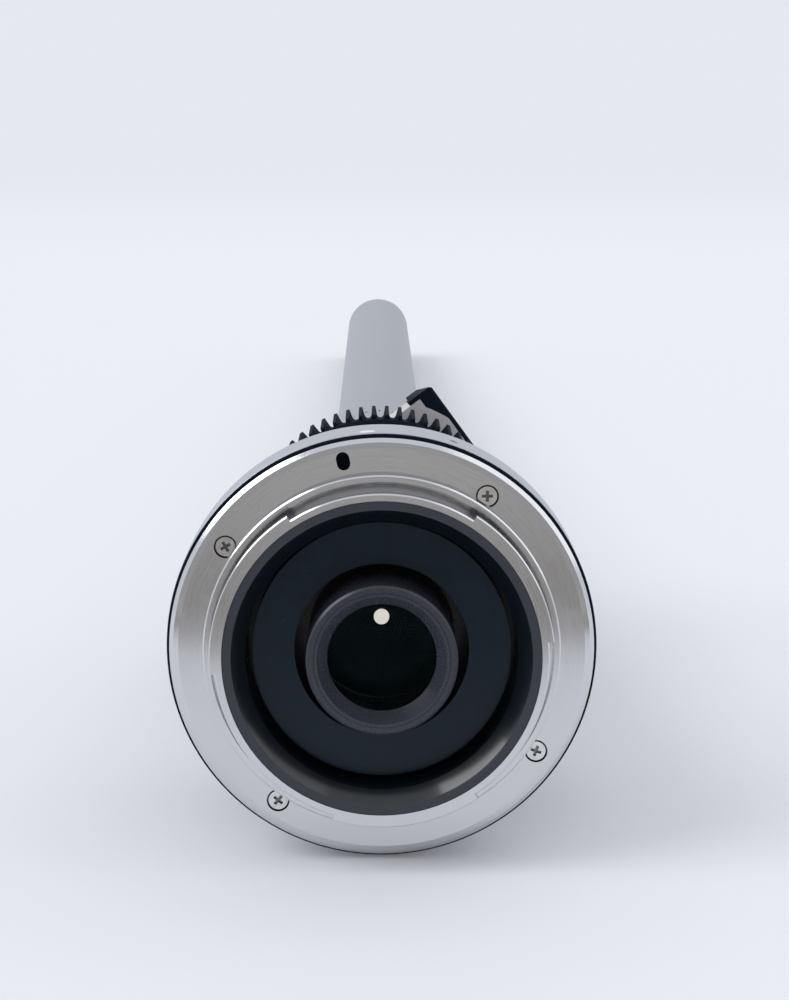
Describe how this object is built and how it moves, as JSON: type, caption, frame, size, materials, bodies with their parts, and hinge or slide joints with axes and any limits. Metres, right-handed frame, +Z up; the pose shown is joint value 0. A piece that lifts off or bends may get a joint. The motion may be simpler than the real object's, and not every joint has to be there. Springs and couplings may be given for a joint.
{
  "type": "probe lens",
  "caption": "Long thin close-focus camera lens with a bayonet mount, geared focus ring, aperture ring, lamp control box and a straight probe tube ending in a lit tip.",
  "frame": {"origin": "middle of the mount's flange face, on the lens axis", "axes": "+Y along the lens axis towards the tip, -Y out of the mount towards the camera, +Z up through the index dot's side, +X to the right as seen from behind the mount"},
  "size_m": [0.0588, 0.489, 0.0588],
  "materials": {
    "bright_mount": "satin bright plating with fine turning marks",
    "screw_steel": "bright steel",
    "mount_screw_steel": "bright steel with dark recesses",
    "pale_anodised": "natural pale anodised aluminium",
    "black_anodised": "satin black anodised",
    "grey_anodised": "bead-blasted grey anodised",
    "white_paint": "white enamel dot",
    "matte_black": "deep matte black, ribbed against stray light",
    "baffle_black": "half-gloss black paint",
    "cell_black": "satin black anodised",
    "optical_glass": "polished and coated",
    "spring_steel": "drawn wire",
    "screw_black": "blackened steel",
    "circuit_board": "green solder mask",
    "socket_steel": "drawn steel shell",
    "switch_plastic": "moulded",
    "lamp_plastic": "frosted light pipe",
    "seal_rubber": "moulded",
    "lamp_board": "white solder mask",
    "lamp_yellow": "yellow lamp gel on white packages",
    "window_glass": "clear window",
    "wire_sleeve": "twisted pair in one sleeve",
    "brass": "turned",
    "button_rubber": "moulded, matte",
    "blade_steel": "blackened spring steel"
  },
  "bodies": {
    "lens_body": {"mount_bayonet": "bright_mount", "mount_screws": "mount_screw_steel", "mount_shim": "black_anodised", "rear_barrel": "grey_anodised", "index_dot": "white_paint", "barrel_grub_screws": "screw_steel", "rear_baffle": "baffle_black", "rear_cell": "cell_black", "rear_lens_retainer": "cell_black", "rear_lens": "optical_glass", "cell_spacer": "matte_black", "field_lens": "optical_glass", "main_barrel": "grey_anodised", "click_ball": "screw_steel", "click_spring": "spring_steel", "iris_spacer": "matte_black", "iris_housing": "matte_black", "iris_retainer": "matte_black", "focus_retainer": "black_anodised", "front_barrel": "grey_anodised", "tube_collar": "grey_anodised", "probe_tube": "grey_anodised", "relay_tube": "matte_black", "relay_carrier": "matte_black", "relay_lens_rear": "optical_glass", "relay_lens_middle": "optical_glass", "relay_lens_front": "optical_glass", "relay_spacers": "matte_black", "control_base": "pale_anodised", "control_cover": "black_anodised", "control_screws": "screw_black", "circuit_board": "circuit_board", "usb_socket": "socket_steel", "tact_switch": "switch_plastic", "indicator_lamp": "lamp_plastic", "tip_housing": "grey_anodised", "tip_seal": "seal_rubber", "led_board": "lamp_board", "leds": "lamp_yellow", "led_window": "window_glass", "front_cell": "cell_black", "front_lens": "optical_glass", "led_wire": "wire_sleeve"},
    "aperture_ring": {"aperture_ring": "black_anodised", "aperture_pin": "screw_steel", "iris_drive_ring": "matte_black"},
    "focus_ring": {"focus_ring": "black_anodised"},
    "focus_sleeve": {"focus_sleeve": "matte_black", "focus_pins": "brass", "focus_lens_front": "optical_glass", "focus_lens_rear": "optical_glass", "focus_lens_retainer": "matte_black"},
    "power_button": {"power_button": "button_rubber"},
    "iris_blade_1": {"iris_blade_1": "blade_steel"},
    "iris_blade_2": {"iris_blade_2": "blade_steel"},
    "iris_blade_3": {"iris_blade_3": "blade_steel"},
    "iris_blade_4": {"iris_blade_4": "blade_steel"},
    "iris_blade_5": {"iris_blade_5": "blade_steel"},
    "iris_blade_6": {"iris_blade_6": "blade_steel"}
  },
  "joints": [
    {"name": "aperture_turn", "type": "hinge", "parent": "lens_body", "child": "aperture_ring", "pos_m": [0, 0.0256, 0], "axis": [0, 1, 0], "range_deg": [0, 45]},
    {"name": "focus_turn", "type": "hinge", "parent": "lens_body", "child": "focus_ring", "pos_m": [0, 0.0879, 0], "axis": [0, 1, 0], "range_deg": [0, 150]},
    {"name": "focus_slide", "type": "slide", "parent": "lens_body", "child": "focus_sleeve", "axis": [0, 1, 0], "range_m": [0, 0.008]},
    {"name": "button_press", "type": "slide", "parent": "lens_body", "child": "power_button", "axis": [-0.8038, -0.1132, -0.584], "range_m": [0, 0.0005], "stiffness_N_per_m": 600, "springref_m": -0.0003},
    {"name": "blade_1_turn", "type": "hinge", "parent": "lens_body", "child": "iris_blade_1", "pos_m": [0, 0.0212, 0.0124], "axis": [0, 1, 0], "range_deg": [0, 28.01]},
    {"name": "blade_2_turn", "type": "hinge", "parent": "lens_body", "child": "iris_blade_2", "pos_m": [0.01074, 0.0212, 0.0062], "axis": [0, 1, 0], "range_deg": [0, 28.01]},
    {"name": "blade_3_turn", "type": "hinge", "parent": "lens_body", "child": "iris_blade_3", "pos_m": [0.01074, 0.0212, -0.0062], "axis": [0, 1, 0], "range_deg": [0, 28.01]},
    {"name": "blade_4_turn", "type": "hinge", "parent": "lens_body", "child": "iris_blade_4", "pos_m": [0, 0.0212, -0.0124], "axis": [0, 1, 0], "range_deg": [0, 28.01]},
    {"name": "blade_5_turn", "type": "hinge", "parent": "lens_body", "child": "iris_blade_5", "pos_m": [-0.01074, 0.0212, -0.0062], "axis": [0, 1, 0], "range_deg": [0, 28.01]},
    {"name": "blade_6_turn", "type": "hinge", "parent": "lens_body", "child": "iris_blade_6", "pos_m": [-0.01074, 0.0212, 0.0062], "axis": [0, 1, 0], "range_deg": [0, 28.01]}
  ],
  "couplings": [
    {"joint": "focus_slide", "follows": "focus_turn", "m_per_rad": 0.0030558},
    {"joint": "blade_1_turn", "follows": "aperture_turn", "ratio": 0.62222},
    {"joint": "blade_2_turn", "follows": "aperture_turn", "ratio": 0.62222},
    {"joint": "blade_3_turn", "follows": "aperture_turn", "ratio": 0.62222},
    {"joint": "blade_4_turn", "follows": "aperture_turn", "ratio": 0.62222},
    {"joint": "blade_5_turn", "follows": "aperture_turn", "ratio": 0.62222},
    {"joint": "blade_6_turn", "follows": "aperture_turn", "ratio": 0.62222}
  ]
}
